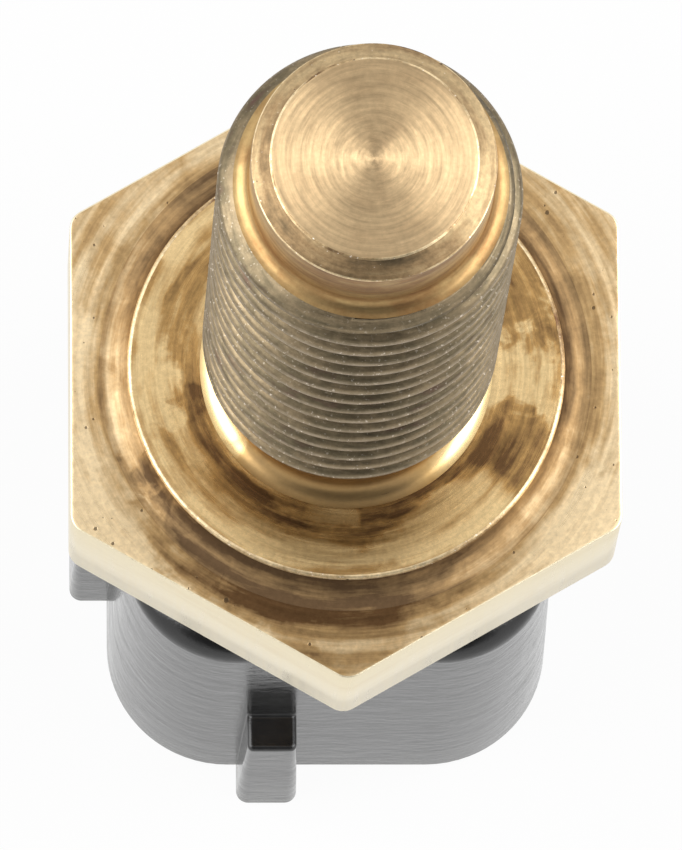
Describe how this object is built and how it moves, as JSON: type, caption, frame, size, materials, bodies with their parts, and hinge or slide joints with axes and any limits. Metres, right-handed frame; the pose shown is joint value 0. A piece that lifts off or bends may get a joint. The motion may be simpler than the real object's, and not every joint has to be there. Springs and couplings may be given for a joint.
{
  "type": "coolant temperature switch",
  "caption": "Brass screw-in coolant temperature switch: threaded probe with a closed tip, hexagon with a washer collar, and a moulded rectangular plug socket.",
  "frame": {"origin": "on the thread's axis, in the plane of the plug socket's mouth", "axes": "+Z along the thread's axis from the socket to the sensing tip; a corner of the hexagon points along +Y; the socket's long side lies along Y"},
  "size_m": [0.022, 0.0252, 0.0591],
  "materials": {
    "brass": "turned, tarnished",
    "black_nylon": "moulded, satin",
    "potting": "cast epoxy",
    "seal_rubber": "moulded",
    "phenolic": "moulded",
    "copper": "stamped",
    "spring_steel": "bright",
    "guide_plastic": "moulded, natural",
    "bimetal": "rolled",
    "ceramic": "ground ceramic",
    "tinned_brass": "stamped and tinned",
    "silver": "pressed"
  },
  "bodies": {
    "switch_body": {"brass_body": "brass", "connector_housing": "black_nylon", "blade_sealant": "potting", "housing_seal": "seal_rubber", "contact_base": "phenolic", "spacer_sleeve": "phenolic", "return_spring": "spring_steel", "preload_washer": "spring_steel", "rod_guide": "guide_plastic", "disc_seat": "spring_steel", "bimetal_disc": "bimetal", "terminal_front": "tinned_brass", "terminal_rear": "tinned_brass", "fixed_contact_front": "silver", "fixed_contact_rear": "silver"},
    "plunger": {"push_rod": "ceramic", "bridge_carrier": "guide_plastic", "contact_bridge": "copper", "moving_contact_front": "silver", "moving_contact_rear": "silver"}
  },
  "joints": [
    {"name": "plunger_slide", "type": "slide", "parent": "switch_body", "child": "plunger", "axis": [0, 0, -1], "range_m": [0, 0.0005], "stiffness_N_per_m": 600, "springref_m": -0.001, "deforming": ["return_spring", "bimetal_disc"]}
  ]
}
